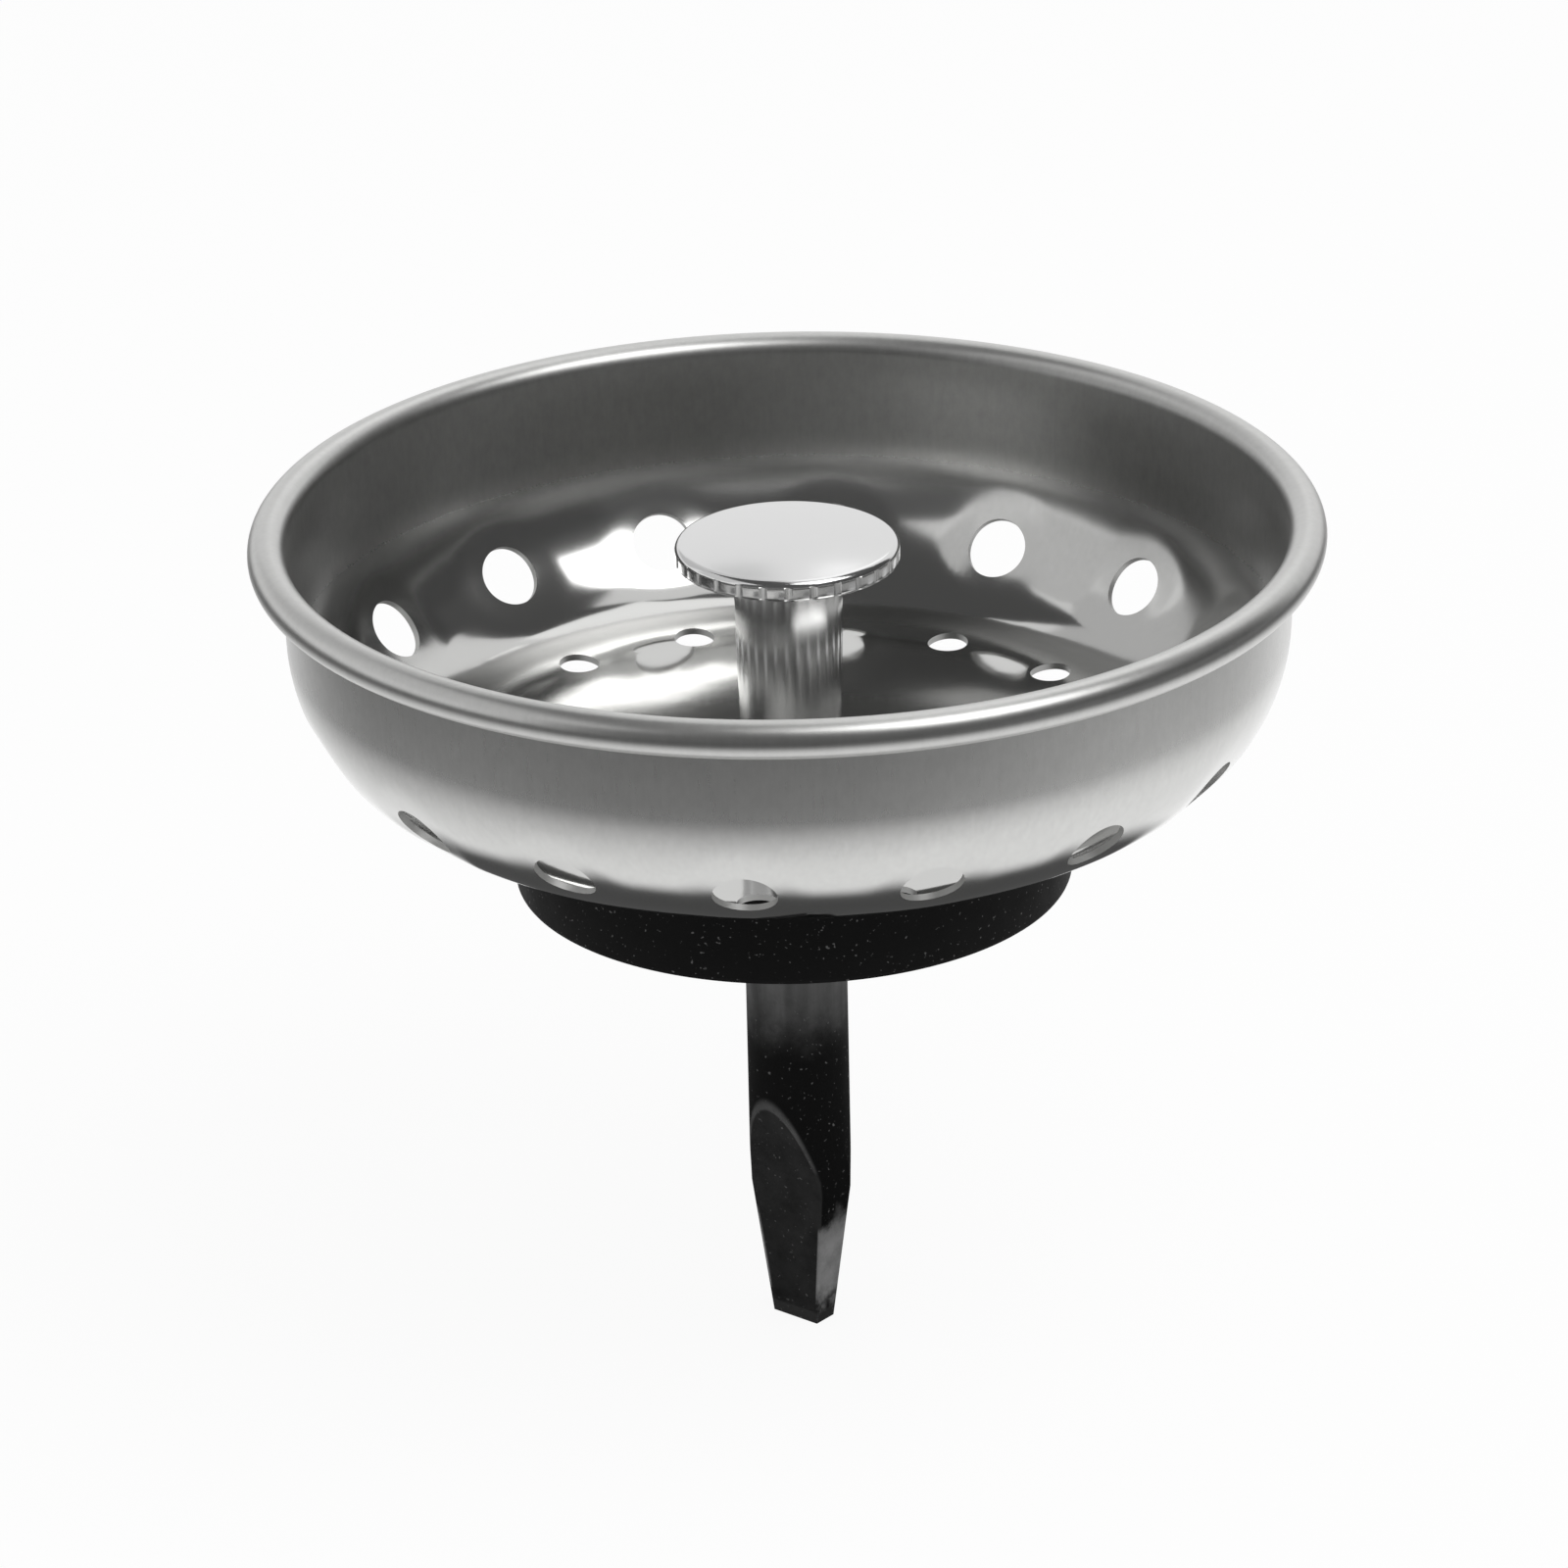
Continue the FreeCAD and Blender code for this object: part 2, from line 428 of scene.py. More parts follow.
def pressed_steel(colours, shape, wall, corner_ring, corner_height):
    """Stainless sheet: satin wall, duller and darkened with painted shade inside, polished floor,
    rough walls in the holes.
    """
    finish = Finish("pressed_steel")
    height = finish.along("Z")
    away = (finish.along("X") ** 2.0 + finish.along("Y") ** 2.0) ** 0.5

    polished_end = FLOOR_TOP + 6.0 * MM
    dull_and_shaded_start = FLOOR_TOP + 9.0 * MM
    satin_start = FLOOR_TOP + 13.0 * MM
    rim_start = BASKET_HIGH.z - 4.0 * MM
    rim_full = BASKET_HIGH.z - 2.0 * MM
    corner = finish.rise(height, FLOOR_TOP, polished_end)
    satin = finish.rise(height, polished_end, satin_start)
    rim = finish.rise(height, rim_start, rim_full)

    # The sheet's inner skin, which is duller on the wall and darkened there with painted shade
    wall_line = wall - corner_height * math.tan(shape.draft)
    skin = away - height * math.tan(shape.draft)
    inside = 1.0 - finish.rise(skin, wall_line - 0.8 * shape.sheet, wall_line - 0.2 * shape.sheet)
    dull_and_shaded = inside * finish.rise(height, dull_and_shaded_start, satin_start)

    # The walls of the holes, where the surface doesn't face along the corner's radius
    outwards = (away - corner_ring).larger(0.0)
    downwards = (corner_height - height).larger(0.0)
    radial = finish.facing("X") * finish.along("X") + finish.facing("Y") * finish.along("Y")
    flush = (radial / away * outwards - finish.facing("Z") * downwards).size()
    flush = flush / (outwards ** 2.0 + downwards ** 2.0) ** 0.5
    below_wall = 1.0 - finish.rise(height, corner_height, corner_height + MM)
    sheared = (1.0 - finish.rise(flush, 0.3, 0.7)) * below_wall

    grain = finish.noise((1400.0, 1400.0, 900.0), detail=4.0, roughness=0.7)
    drawn = finish.noise((3000.0, 3000.0, 260.0))
    mottle = (0.6 * corner + 0.4 * satin) * (0.18 * grain + 0.07 * drawn - 0.12)
    # The inner wall's base colour is darkened here as painted shade
    base = finish.blend(0.94 + mottle - 0.32 * dull_and_shaded, grey(0.0), colours.steel)
    polish = 0.07 + 0.10 * corner + satin * (0.09 + 0.04 * drawn) + 0.08 * rim + 0.06 * dull_and_shaded
    waves = finish.noise((300.0, 300.0, 300.0), detail=1.0)
    return finish.principled(
        Base_Color=base,
        Metallic=1.0,
        Roughness=polish + 0.45 * sheared,
        Normal=finish.bump(waves, 1.0, 0.012 * MM),
    )


def bright_plating(colours):
    """Polished plating of the knob."""
    finish = Finish("bright_plating")
    wear = finish.noise((400.0, 400.0, 400.0))
    return finish.principled(Base_Color=colours.chrome, Metallic=1.0, Roughness=0.11 + 0.06 * wear)


def zinc_plating(colours):
    """Dull zinc on the stud, nut and washer."""
    finish = Finish("zinc_plating")
    mottle = finish.noise((700.0, 700.0, 700.0))
    base = finish.blend(0.7 + 0.5 * mottle, grey(0.05), colours.zinc)
    return finish.principled(Base_Color=base, Metallic=1.0, Roughness=0.28 + 0.2 * mottle)


def moulded_rubber(colours, post):
    """Matte black rubber with dust, a pale film and painted sheen on the post's root, a painted
    highlight along the slopes' edges, and a worn tip.
    """
    finish = Finish("moulded_rubber")
    height = finish.along("Z")
    away = (finish.along("X") ** 2.0 + finish.along("Y") ** 2.0) ** 0.5
    above_tip = height - POST_LOW.z
    ragged = finish.noise((420.0, 420.0, 420.0), detail=5.0, roughness=0.65)
    sheen_streaks = finish.noise((520.0, 520.0, 60.0))
    specks = finish.noise((3200.0, 3200.0, 3200.0), detail=1.0)
    pores = finish.noise((2600.0, 2600.0, 2600.0))
    dust = finish.rise(specks, 0.68, 0.76)
    on_post = 1.0 - finish.rise(height, -0.3 * MM, 0.0)

    def across(turn):
        """The distance from the middle plane of a pair of flats."""
        return (finish.along("X") * math.cos(turn) + finish.along("Y") * math.sin(turn)).size()

    # The wide flats, and the edge of the slope above them, which is worn and has a painted
    # highlight
    half = post.wide_thickness / 2
    tip = post.tip_thickness / 2
    lower = tip + above_tip * ((half - tip) / post.wide_length)
    upper = half + (above_tip - post.wide_length) * ((post.radius - half) / post.run_out)
    from_flat = (across(post.turn) - lower.larger(upper)).size()
    wide = 1.0 - finish.rise(from_flat, 0.05 * MM, 0.25 * MM)
    # Painted highlight along the rounded edge where the slope meets the post, on top of wear
    edge = (1.0 - finish.rise(from_flat, 0.05 * MM, 0.3 * MM)) * finish.rise(
        away, post.radius - 0.15 * MM, post.radius - 0.02 * MM
    )
    edge = edge * finish.rise(above_tip, post.wide_length, post.wide_length + 2.0 * MM)

    # The scuffed part of the narrow flats
    narrow_half = post.tip_width / 2
    taper = (post.radius - narrow_half) / post.narrow_length
    from_middle = across(post.turn + QUARTER) - above_tip * taper
    narrow = finish.rise(from_middle, narrow_half - 0.3 * MM, narrow_half - 0.1 * MM)
    narrow = narrow * finish.rise(above_tip + ragged * 5.0 * MM, 3.5 * MM, 5.5 * MM)
    narrow = narrow * (1.0 - finish.rise(above_tip + ragged * 6.0 * MM, 10.0 * MM, 13.0 * MM))

    # The post's root: a pale film, with vertical streaks of painted sheen
    root = finish.rise(height + ragged * 5.0 * MM, -12.5 * MM, -5.0 * MM)
    root = root * (0.15 + 0.9 * sheen_streaks) * 0.75
    scuff = narrow * (0.25 + 1.2 * ragged)
    # Wear of the wide flats, and the painted edge highlight
    wear = (wide * 0.14 * ragged).larger(edge * ragged * 0.5)
    # Pale marks: scuffs, film, wear, the painted sheen of the root and the painted edge highlight
    film = scuff.larger(root).larger(wear) * on_post
    base = finish.blend(film.larger(dust * 0.35), colours.rubber, colours.bloom_and_sheen)
    return finish.principled(
        Base_Color=base,
        Roughness=0.5 + 0.2 * ragged,
        Specular_IOR_Level=0.08,
        Normal=finish.bump(pores, 0.12, 0.08 * MM),
    )


def hole_turns(shape):
    """The turns from the first hole of a ring to each of its holes."""
    step = 2 * math.pi / shape.holes
    return [Matrix.Rotation(shape.phase + index * step, 3, "Z") for index in range(shape.holes)]


def punches(shape, radius, place, axis):
    """Round cutters for one ring of holes."""
    cutters = []
    for turn in hole_turns(shape):
        lean = (turn @ axis).to_track_quat("Z", "Y").to_euler()
        bpy.ops.mesh.primitive_cylinder_add(
            vertices=PUNCH_STEPS, radius=radius, depth=PUNCH_LENGTH,
            location=turn @ place, rotation=lean,
        )
        cutters.append(bpy.context.object)
    return cutters


def dish_holes(piece, shape, radius, place, axis):
    """Pushes the edges of a ring of holes inwards, as a punch does."""
    reach = 2.0 * MM
    edge = radius * 1.01
    for turn in hole_turns(shape):
        middle = turn @ place
        along = turn @ axis

        def on_edge(point):
            offset = point - middle
            depth = offset.dot(along)
            return abs(depth) < reach and (offset - depth * along).length < edge

        select_vertices(piece, on_edge)
        bpy.ops.transform.translate(
            value=along * -shape.dish,
            use_proportional_edit=True,
            proportional_edit_falloff="SMOOTH",
            proportional_size=shape.dish_width,
        )


class STRAINER_OT_basket(Operator):
    """Model the pressed basket with its curled rim and two rings of punched holes"""

    bl_idname = "strainer.basket"
    bl_label = "Basket"

    def execute(self, context):
        shape = context.scene.strainer_basket
        underside = BASKET_LOW.z
        inner_corner = shape.corner - shape.sheet
        bead = shape.bead / 2
        curl = bead - shape.sheet
        bead_ring = BASKET_HIGH.x - bead
        bead_height = BASKET_HIGH.z - bead
        corner_height = underside + shape.corner
        sine, cosine = math.sin(shape.draft), math.cos(shape.draft)
        drawn_out = (bead_height - corner_height) * math.tan(shape.draft)
        wall = bead_ring - curl / cosine - drawn_out
        corner_ring = wall - shape.corner / cosine
        start_angle = math.pi - shape.draft
        end_angle = shape.opening - math.pi
        corner_turn = QUARTER - shape.draft
        across = (bead_ring - bead * cosine) - (corner_ring + inner_corner * cosine)
        up = (bead_height + bead * sine) - (corner_height - inner_corner * sine)

        piece = start_section("basket_shell", shape.centre_hole, underside)
        draw_line(0.0, shape.sheet)
        draw_line(corner_ring - shape.centre_hole, 0.0, 24)
        draw_arc(corner_ring, corner_height, corner_turn, 40)
        draw_line(across, up, 8)
        draw_arc(bead_ring, bead_height, end_angle - start_angle, 36)
        draw_line(-shape.sheet * math.cos(end_angle), -shape.sheet * math.sin(end_angle))
        draw_arc(bead_ring, bead_height, start_angle - end_angle, 24)
        draw_line(
            (corner_ring + shape.corner * cosine) - (bead_ring - curl * cosine),
            (corner_height - shape.corner * sine) - (bead_height + curl * sine),
            8,
        )
        draw_arc(corner_ring, corner_height, -corner_turn, 40)
        draw_line(shape.centre_hole - corner_ring, 0.0, 24)
        turn_section(BASKET_STEPS)

        lean = -shape.side_slope
        side_axis = Vector((math.cos(lean), 0.0, math.sin(lean)))
        corner_middle = Vector((corner_ring, 0.0, corner_height))
        side_place = corner_middle + side_axis * (shape.corner - shape.sheet / 2)
        floor_place = Vector((wall - shape.floor_inset, 0.0, underside + shape.sheet / 2))
        cutters = punches(shape, shape.side_hole, side_place, side_axis)
        cutters += punches(shape, shape.floor_hole, floor_place, Vector((0.0, 0.0, 1.0)))
        cut(piece, cutters)

        pick(piece)
        bpy.ops.object.mode_set(mode="EDIT")
        dish_holes(piece, shape, shape.side_hole, side_place, side_axis)
        close_skin()
        bpy.ops.object.mode_set(mode="OBJECT")
        smooth(piece, 40)
        colours = context.scene.strainer_colours
        finish = pressed_steel(colours, shape, wall, corner_ring, corner_height)
        stand_for(piece, "basket", "basket", finish)
        return {"FINISHED"}


def coin_edge(piece, shape, disc, shoulder):
    """Presses the grooves of the coin edge into the disc's rim, below its shoulder."""
    groove_end = shoulder - 0.7 * shape.shoulder
    same_ring = 0.001
    step = 2 * math.pi / (shape.grooves * GROOVE_STEPS)
    # A groove's middle, and the shallower steps on both sides of it
    depths = {0: 1.0, 1: 0.8, GROOVE_STEPS - 1: 0.8}
    rings = sorted({round(math.hypot(v.co.x, v.co.y) / MM, 4) for v in piece.data.vertices})
    bpy.ops.object.mode_set(mode="EDIT")
    for offset, share in depths.items():
        target = disc - shape.groove_depth * share
        for ring in rings:
            if ring * MM <= target:
                continue

            def in_groove(point):
                off_ring = abs(math.hypot(point.x, point.y) / MM - ring) > same_ring
                if point.z > groove_end or off_ring:
                    return False
                return round(math.atan2(point.y, point.x) / step) % GROOVE_STEPS == offset

            select_vertices(piece, in_groove)
            scale = target / (ring * MM)
            bpy.ops.transform.resize(value=(scale, scale, 1.0), center_override=(0.0, 0.0, 0.0))
    bpy.ops.object.mode_set(mode="OBJECT")


class STRAINER_OT_knob(Operator):
    """Model the pull knob with its tapered neck, domed top and coin edge"""

    bl_idname = "strainer.knob"
    bl_label = "Knob"

    def execute(self, context):
        shape = context.scene.strainer_knob
        bottom = KNOB_LOW.z
        shoulder = KNOB_HIGH.z - shape.dome
        disc = KNOB_HIGH.x
        flat = disc - shape.edge_round
        dome_rim = disc - shape.shoulder
        under = shoulder - shape.rim
        band = shape.rim - shape.edge_round - shape.shoulder
        dome_radius = (dome_rim ** 2 + shape.dome ** 2) / (2 * shape.dome)
        dome_turn = math.asin(dome_rim / dome_radius)

        piece = start_section("knob_turned", 0.0, bottom + shape.bore_depth)
        draw_line(shape.bore, 0.0)
        draw_line(0.0, -shape.bore_depth, 4)
        draw_line(shape.foot - shape.bore, 0.0, 2)
        draw_line(shape.neck - shape.foot, under - shape.fillet - bottom, 12)
        draw_arc(shape.neck + shape.fillet, under - shape.fillet, -QUARTER, 8)
        draw_line(flat - shape.neck - shape.fillet, 0.0, 4)
        draw_arc(flat, under + shape.edge_round, QUARTER, 6)
        draw_line(0.0, band, 3)
        draw_arc(dome_rim, shoulder - shape.shoulder, QUARTER, 10)
        draw_arc(0.0, KNOB_HIGH.z - dome_radius, dome_turn, 16)
        turn_section(shape.grooves * GROOVE_STEPS)
        coin_edge(piece, shape, disc, shoulder)
        smooth(piece, 30)
        finish = bright_plating(context.scene.strainer_colours)
        stand_for(piece, "knob", "knob", finish)
        return {"FINISHED"}


class STRAINER_OT_hardware(Operator):
    """Cut the stud's thread, and finish the stud, the nut and the washer"""

    bl_idname = "strainer.hardware"
    bl_label = "Stud, nut and washer"

    def execute(self, context):
        shape = context.scene.strainer_stud
        finish = zinc_plating(context.scene.strainer_colours)
        crest = STUD_HIGH.x
        start = STUD_LOW.z - 2 * shape.pitch
        turns = math.ceil((STUD_HIGH.z - start) / shape.pitch) + 1

        root, flank, land = 0.2 * shape.pitch, 0.325 * shape.pitch, 0.15 * shape.pitch
        piece = start_section("stud_thread", crest - shape.depth, start)
        draw_line(0.0, root)
        draw_line(shape.depth, flank)
        draw_line(0.0, land)
        draw_line(-shape.depth, flank)
        bpy.ops.object.mode_set(mode="OBJECT")
        apply_modifier(
            piece, "SCREW", axis="Z", screw_offset=shape.pitch, iterations=turns,
            steps=STUD_STEPS, render_steps=STUD_STEPS,
            use_merge_vertices=True, merge_threshold=0.001 * MM,
        )
        bpy.ops.object.mode_set(mode="EDIT")
        close_skin()
        for height, upper in ((STUD_LOW.z, False), (STUD_HIGH.z, True)):
            bpy.ops.mesh.select_all(action="SELECT")
            bpy.ops.mesh.bisect(
                plane_co=(0.0, 0.0, height), plane_no=(0.0, 0.0, 1.0), threshold=SLIVER,
                use_fill=True, clear_outer=upper, clear_inner=not upper,
            )
        close_skin()
        bpy.ops.object.mode_set(mode="OBJECT")

        span = STUD_HIGH.z - STUD_LOW.z
        blank = start_section("stud_blank", 0.0, STUD_LOW.z)
        draw_line(crest - shape.chamfer, 0.0)
        draw_line(shape.chamfer, shape.chamfer)
        draw_line(0.0, span - 2 * shape.chamfer)
        draw_line(-shape.chamfer, shape.chamfer)
        draw_line(shape.chamfer - crest, 0.0)
        turn_section(STUD_STEPS)
        cut(piece, [blank], "INTERSECT")
        smooth(piece, 25)
        stand_for(piece, "stud", "stem", finish)
        for node in ("clamp_nut", "backing_washer"):
            dress(node, finish)
        return {"FINISHED"}


def flat_wedges(shape, name, tip, runs, turn):
    """Two cutters for a pair of opposite flats. Runs are the section's steps up from the tip."""
    fold_height = POST_LOW.z + runs[0][1]
    reach = 3 * shape.radius
    wedge = start_section(name, reach, POST_LOW.z - MM)
    draw_line(tip - reach, 0.0)
    draw_line(0.0, MM)
    for across, up in runs:
        draw_line(across, up)
    total_up = sum(up for _, up in runs)
    draw_line(reach - shape.radius, 0.0)
    draw_line(0.0, -total_up - MM)
    bpy.ops.mesh.select_all(action="SELECT")
    bpy.ops.mesh.remove_doubles(threshold=0.001 * MM)
    bpy.ops.mesh.edge_face_add()
    bpy.ops.mesh.extrude_region_move(TRANSFORM_OT_translate={"value": (0.0, 2 * reach, 0.0)})
    bpy.ops.mesh.select_all(action="SELECT")
    bpy.ops.transform.translate(value=(0.0, -reach, 0.0))
    close_skin()
    if len(runs) > 1:
        select_vertices(wedge, lambda point: abs(point.z - fold_height) < 0.01 * MM)
        bpy.ops.mesh.bevel(offset=shape.fold, segments=6)
    bpy.ops.object.mode_set(mode="OBJECT")
    wedge.rotation_euler.z = turn
    pick(wedge)
    bpy.ops.object.duplicate()
    opposite = bpy.context.object
    opposite.rotation_euler.z = turn + math.pi
    return [wedge, opposite]


def mould_stopper(shape):
    """The thick disc with its recess."""
    outer, top = STOPPER_HIGH.x, STOPPER_HIGH.z
    flat = outer - shape.edge_round
    side = top - 2 * shape.edge_round
    piece = start_section("stopper_moulded", shape.hole, shape.recess_depth)
    draw_line(0.0, top - shape.recess_depth)
    draw_line(flat - shape.hole, 0.0, 8)
    draw_arc(flat, top - shape.edge_round, -QUARTER, 6)
    draw_line(0.0, -side, 3)
    draw_arc(flat, shape.edge_round, -QUARTER, 6)
    draw_line(shape.recess - flat, 0.0, 6)
    draw_line(0.0, shape.recess_depth)
    draw_line(shape.hole - shape.recess, 0.0, 3)
    turn_section(STOPPER_STEPS)
    smooth(piece, 35)
    return piece


class STRAINER_OT_rubber(Operator):
    """Model the stopper, and the post with its tapered flats"""

    bl_idname = "strainer.rubber"
    bl_label = "Stopper and post"

    def execute(self, context):
        shape = context.scene.strainer_post
        finish = moulded_rubber(context.scene.strainer_colours, shape)
        piece = start_section("post_moulded", 0.0, -shape.socket_depth)
        draw_line(shape.socket, 0.0)
        draw_line(0.0, shape.socket_depth)
        draw_line(shape.radius - shape.socket, 0.0)
        draw_line(0.0, POST_LOW.z)
        draw_line(-shape.radius, 0.0)
        turn_section(POST_STEPS)
        wide_runs = (
            ((shape.wide_thickness - shape.tip_thickness) / 2, shape.wide_length),
            (shape.radius - shape.wide_thickness / 2, shape.run_out),
        )
        narrow_runs = ((shape.radius - shape.tip_width / 2, shape.narrow_length),)
        thin, narrow = shape.tip_thickness / 2, shape.tip_width / 2
        cutters = flat_wedges(shape, "wide_wedge", thin, wide_runs, shape.turn)
        cutters += flat_wedges(shape, "narrow_wedge", narrow, narrow_runs, shape.turn + QUARTER)
        for cutter in cutters:
            cut(piece, [cutter])
        apply_modifier(
            piece, "BEVEL", width=shape.softness, segments=3, limit_method="ANGLE",
            angle_limit=math.radians(12.0), use_clamp_overlap=True,
        )
        pick(piece)
        bpy.ops.object.mode_set(mode="EDIT")
        close_skin()
        bpy.ops.object.mode_set(mode="OBJECT")
        smooth(piece, 35)
        stand_for(piece, "post", "stem", finish)
        stopper = mould_stopper(context.scene.strainer_stopper)
        stand_for(stopper, "stopper", "stem", finish)
        return {"FINISHED"}


# Where the middle of the rim is in the photograph's frame, and the lens, in its pixels
FRAME_PIXELS = 1600
RIM_PIXEL = (803.0, 545.3)
LENS_PIXELS = 9338.0
SENSOR = 36.0

# The room's bounds and height, and the lamp, in metres and watts
FLOOR_HALF = 4.0
ROOM_HALF = 2.0
ROOM_FRONT = -1.6
ROOM_HEIGHT = 1.6
TABLE_HALF = 0.9
CEILING_LEFT, CEILING_BACK, CEILING_HEIGHT = -0.55, 0.55, 0.9
KEY_PLACE, KEY_SIZE, KEY_POWER = (0.300, -0.210, 0.655), 0.44, 2.3

# The sky's light on the object, and the share of the floor that is white and not lit paint
SKY_LEVEL = 0.65
FLOOR_WHITE = 0.92

# Levels of what shows in the metal, among them the table's painted shade and painted pool of light
ROOM_LEVEL = 0.13
CEILING_LEVEL = 0.10
TABLE_SHADE, TABLE_LIGHT_POOL = 0.09, 1.12

# Place, size and level of each card
CARDS = {
    "left_card": ((-0.94, -0.12, 0.72), 0.90, 0.72),
    "back_left_card": ((-0.77, 0.77, 0.71), 0.90, 0.66),
    "back_card": ((-0.204, 0.882, 0.787), 0.42, 0.72),
    "back_window": ((0.219, 0.879, 0.787), 0.42, 1.40),
    "high_window": ((0.116, 0.357, 0.706), 0.26, 1.30),
    "overhead_card": ((0.16, 0.04, 0.76), 0.30, 0.95),
    "right_card": ((1.47, -0.10, 0.26), 2.40, 0.08),
}


def add_camera(studio, bead):
    """A camera at the photograph's viewing angle."""
    data = bpy.data.cameras.new("photo_camera")
    camera = bpy.data.objects.new("photo_camera", data)
    bpy.context.scene.collection.objects.link(camera)
    data.sensor_width = SENSOR
    data.lens = LENS_PIXELS / FRAME_PIXELS * SENSOR
    data.clip_start = 0.01
    axes = Matrix.Rotation(QUARTER - studio.elevation, 3, "X")
    axes = axes @ Matrix.Rotation(studio.roll, 3, "Z")
    pixel = studio.distance / LENS_PIXELS
    middle = FRAME_PIXELS / 2
    right, down = RIM_PIXEL
    offset = Vector(((right - middle) * pixel, (middle - down) * pixel, -studio.distance))
    rim_middle = Vector((0.0, 0.0, BASKET_HIGH.z - bead / 2))
    camera.matrix_world = Matrix.Translation(rim_middle - axes @ offset) @ axes.to_4x4()
    bpy.context.scene.camera = camera


def add_lamp(name, place, size, power):
    """A square soft lamp that faces the basket."""
    data = bpy.data.lights.new(name, "AREA")
    data.size = size
    data.energy = power
    lamp = bpy.data.objects.new(name, data)
    lamp.location = place
    lamp.rotation_euler = (-Vector(place)).to_track_quat("-Z", "Y").to_euler()
    bpy.context.scene.collection.objects.link(lamp)


def add_sheet(name, corner, opposite, finish):
    """A flat or upright rectangle of the studio."""
    low, high = Vector(corner), Vector(opposite)
    span = high - low
    bpy.ops.object.select_all(action="DESELECT")
    upright = span.z > span.y
    bpy.ops.mesh.primitive_plane_add(
        size=1.0, location=(low + high) / 2, rotation=(QUARTER if upright else 0.0, 0.0, 0.0)
    )
    sheet = bpy.context.object
    sheet.name = name
    sheet.scale = (span.x, span.z if upright else span.y, 1.0)
    bpy.ops.object.transform_apply(location=True, rotation=True, scale=True)
    sheet.data.materials.append(finish)
    return sheet


def seen_directly(finish):
    """1 for rays that show the background: from the camera, or by reflection or through glass."""
    rays = [finish.add("LightPath", output=name) for name in ("Is Camera Ray", "Is Glossy Ray")]
    through = finish.add("LightPath", output="Is Transmission Ray")
    return rays[0].larger(rays[1]).larger(through)


def floor_paint():
    """Pale paint that shows white and keeps a soft shadow."""
    finish = Finish("floor_paint")
    paint = finish.add("BsdfDiffuse", inputs={"Color": grey(0.9)})
    glow = finish.add("Emission", inputs={"Color": grey(1.0)})
    share = seen_directly(finish) * FLOOR_WHITE
    return finish.close(finish.add("MixShader", inputs={0: share, 1: paint, 2: glow}))


def card_paint(level):
    """Paint of a card that only shows in the metal."""
    finish = Finish("card_paint")
    return finish.close(finish.add("Emission", inputs={"Color": grey(level)}))


def table_shadow_and_light():
    """A sheet with the strainer's painted shadow and a painted pool of light round it that fades
    to dark, which only shows in the metal.
    """
    finish = Finish("table_shadow_and_light")
    across = finish.along("X")
    back = finish.along("Y")
    # Painted shadow of the strainer, set towards the back, inside the near edge
    near = ((across + 2.0 * MM) ** 2.0 + (back - 18.0 * MM) ** 2.0) ** 0.5
    front = (-1.05 * back).larger(0.0)
    far = ((0.88 * across - 17.6 * MM) ** 2.0 + front ** 2.0) ** 0.5
    shadow_edge = finish.rise(near, 44.0 * MM, 58.0 * MM)
    outer_fade = 1.0 - finish.rise(far, 50.0 * MM, 185.0 * MM)
    # Levels of the painted shade and of the painted pool of light
    dark = finish.add("Emission", inputs={"Color": grey(TABLE_SHADE)})
    bright = finish.add("Emission", inputs={"Color": grey(1.0), "Strength": TABLE_LIGHT_POOL})
    ring = shadow_edge * outer_fade
    return finish.close(finish.add("MixShader", inputs={0: ring, 1: dark, 2: bright}))


def leave_in_metal(sheet):
    """Leaves a sheet in reflections only."""
    sheet.visible_camera = False
    sheet.visible_diffuse = False
    sheet.visible_shadow = False


def add_card(name, place, size, level):
    """A square card that faces the strainer and only shows in the metal."""
    bpy.ops.object.select_all(action="DESELECT")
    lean = (-Vector(place)).to_track_quat("Z", "Y").to_euler()
    bpy.ops.mesh.primitive_plane_add(size=size, location=place, rotation=lean)
    card = bpy.context.object
    card.name = name
    card.data.materials.append(card_paint(level))
    leave_in_metal(card)


def add_sky():
    """White where it is seen, and a plain level of light."""
    sky = Finish("studio", "worlds")
    strength = SKY_LEVEL + (1.0 - SKY_LEVEL) * seen_directly(sky)
    background = sky.add("Background", inputs={"Color": grey(1.0), "Strength": strength})
    bpy.context.scene.world = sky.close(background, "OutputWorld")


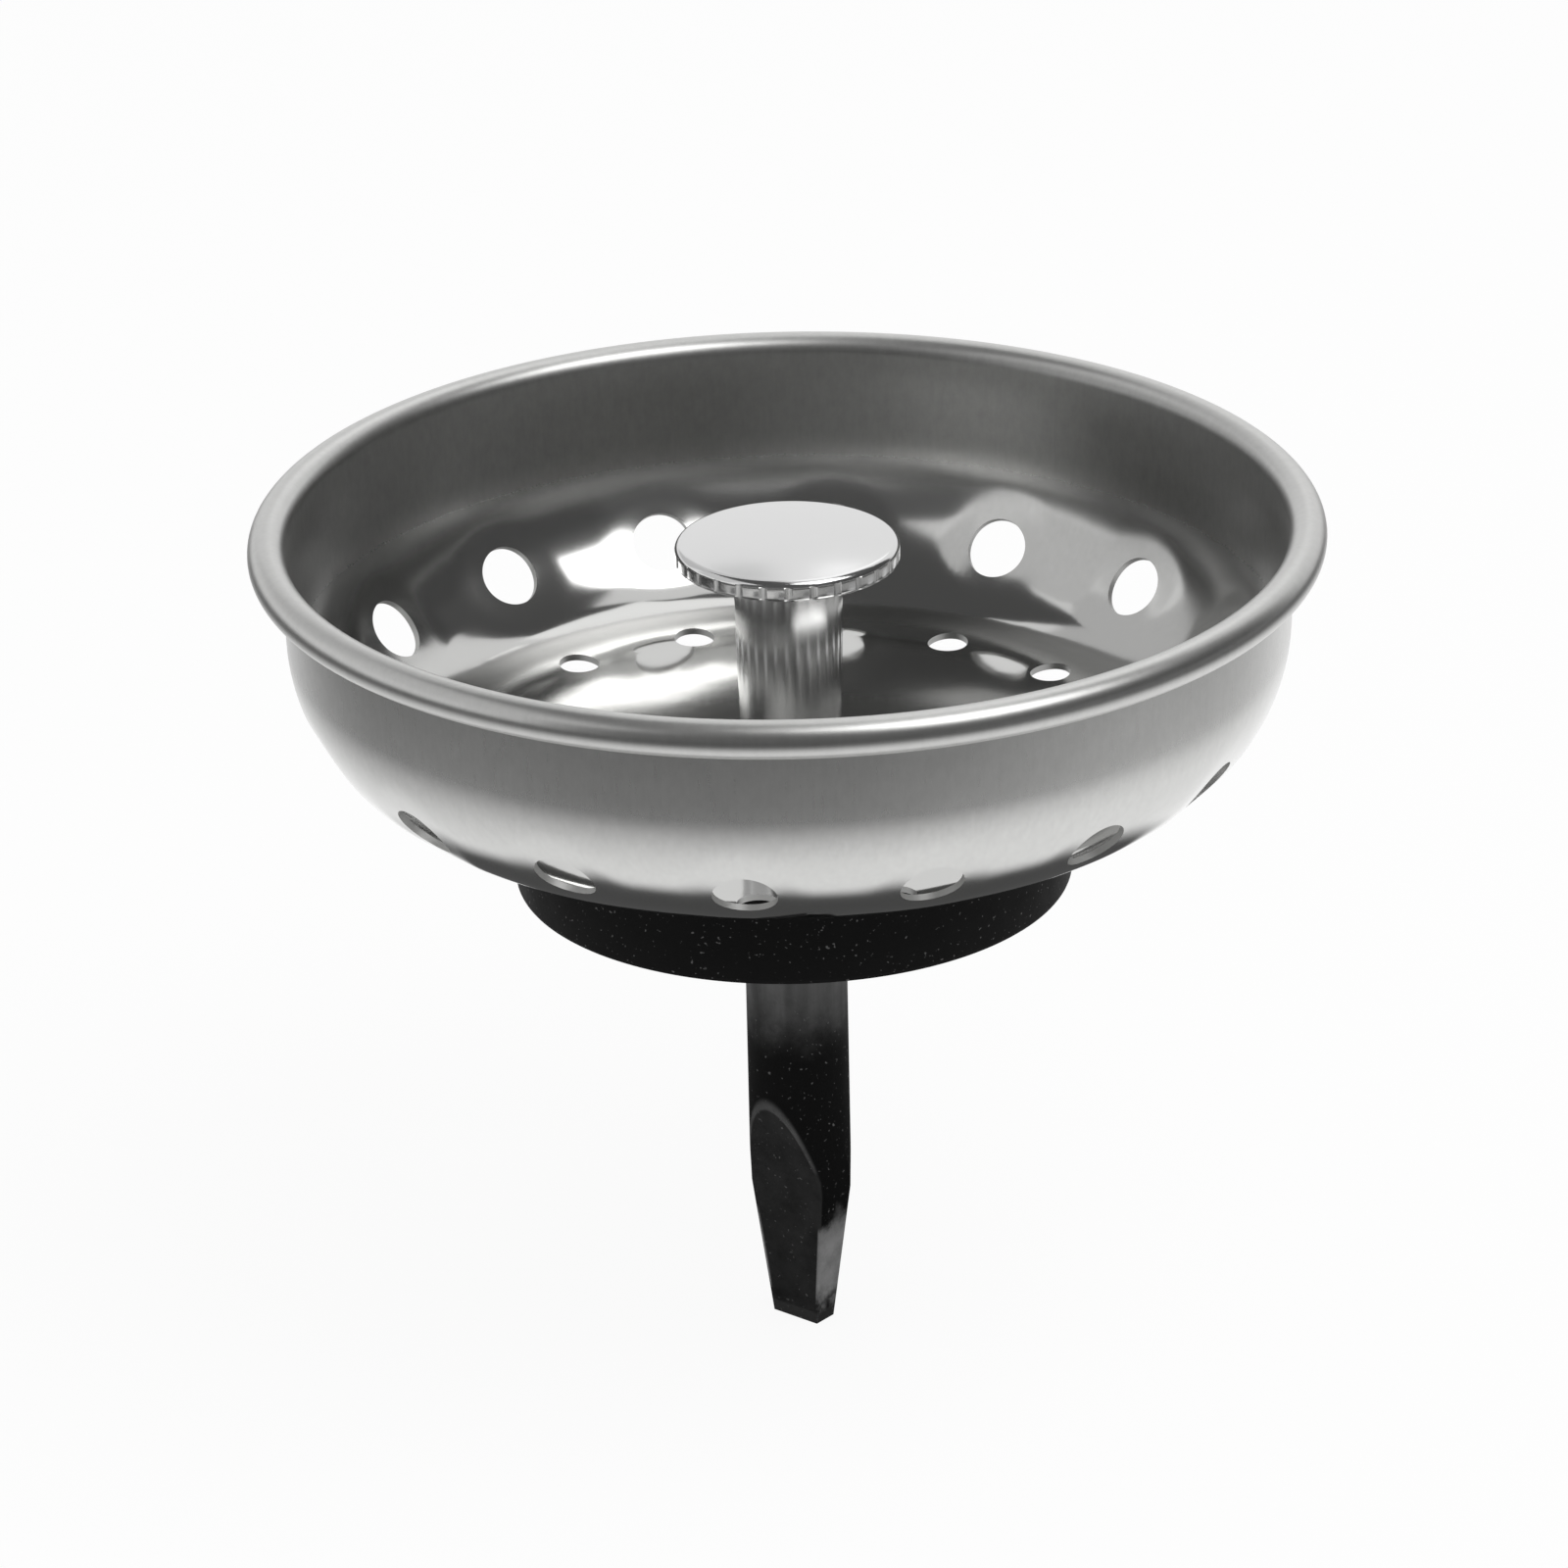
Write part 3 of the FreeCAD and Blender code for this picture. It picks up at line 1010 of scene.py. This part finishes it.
class STRAINER_OT_stage(Operator):
    """Set up the floor, the lamp, the cards and the camera"""

    bl_idname = "strainer.stage"
    bl_label = "Studio"

    def execute(self, context):
        scene = context.scene
        scene.view_settings.view_transform = "Standard"
        floor = POST_LOW.z
        table_top = floor + MM
        add_sheet(
            "floor", (-FLOOR_HALF, -FLOOR_HALF, floor), (FLOOR_HALF, FLOOR_HALF, floor),
            floor_paint(),
        )
        # The table shows the strainer's painted shadow and a painted pool of light in the metal
        table = add_sheet(
            "table", (-TABLE_HALF, ROOM_FRONT, table_top), (TABLE_HALF, TABLE_HALF, table_top),
            table_shadow_and_light(),
        )
        room = add_sheet(
            "camera_side", (-ROOM_HALF, ROOM_FRONT, floor), (ROOM_HALF, ROOM_FRONT, ROOM_HEIGHT),
            card_paint(ROOM_LEVEL),
        )
        ceiling = add_sheet(
            "ceiling", (CEILING_LEFT, ROOM_FRONT, CEILING_HEIGHT),
            (ROOM_HALF, CEILING_BACK, CEILING_HEIGHT), card_paint(CEILING_LEVEL),
        )
        for sheet in (table, room, ceiling):
            leave_in_metal(sheet)
        for name, (place, size, level) in CARDS.items():
            add_card(name, place, size, level)
        add_sky()
        add_lamp("key", KEY_PLACE, KEY_SIZE, KEY_POWER)
        add_camera(scene.strainer_studio, scene.strainer_basket.bead)
        return {"FINISHED"}


class STRAINER_PT_sidebar(Panel):
    """The strainer's pieces, in the order in which they are made"""

    bl_idname = "STRAINER_PT_sidebar"
    bl_label = "Sink strainer"
    bl_space_type = "VIEW_3D"
    bl_region_type = "UI"
    bl_category = "Strainer"

    def draw(self, context):
        for operator in OPERATORS:
            self.layout.operator(operator.bl_idname)
        for name, group in GROUPS.items():
            values = getattr(context.scene, name)
            for value in group.__annotations__:
                self.layout.prop(values, value)


GROUPS = {
    "strainer_basket": BasketShape,
    "strainer_knob": KnobShape,
    "strainer_stud": StudShape,
    "strainer_stopper": StopperShape,
    "strainer_post": PostShape,
    "strainer_colours": FinishColours,
    "strainer_studio": StudioSettings,
}
OPERATORS = (
    STRAINER_OT_basket,
    STRAINER_OT_knob,
    STRAINER_OT_hardware,
    STRAINER_OT_rubber,
    STRAINER_OT_stage,
)
CLASSES = tuple(GROUPS.values()) + OPERATORS + (STRAINER_PT_sidebar,)


def register():
    for item in CLASSES:
        bpy.utils.register_class(item)
    for name, group in GROUPS.items():
        setattr(bpy.types.Scene, name, PointerProperty(type=group))


def unregister():
    for name in GROUPS:
        delattr(bpy.types.Scene, name)
    for item in reversed(CLASSES):
        bpy.utils.unregister_class(item)


def main():
    register()
    bpy.ops.strainer.basket()
    bpy.ops.strainer.knob()
    bpy.ops.strainer.hardware()
    bpy.ops.strainer.rubber()
    bpy.ops.strainer.stage()


if __name__ == "__main__":
    main()
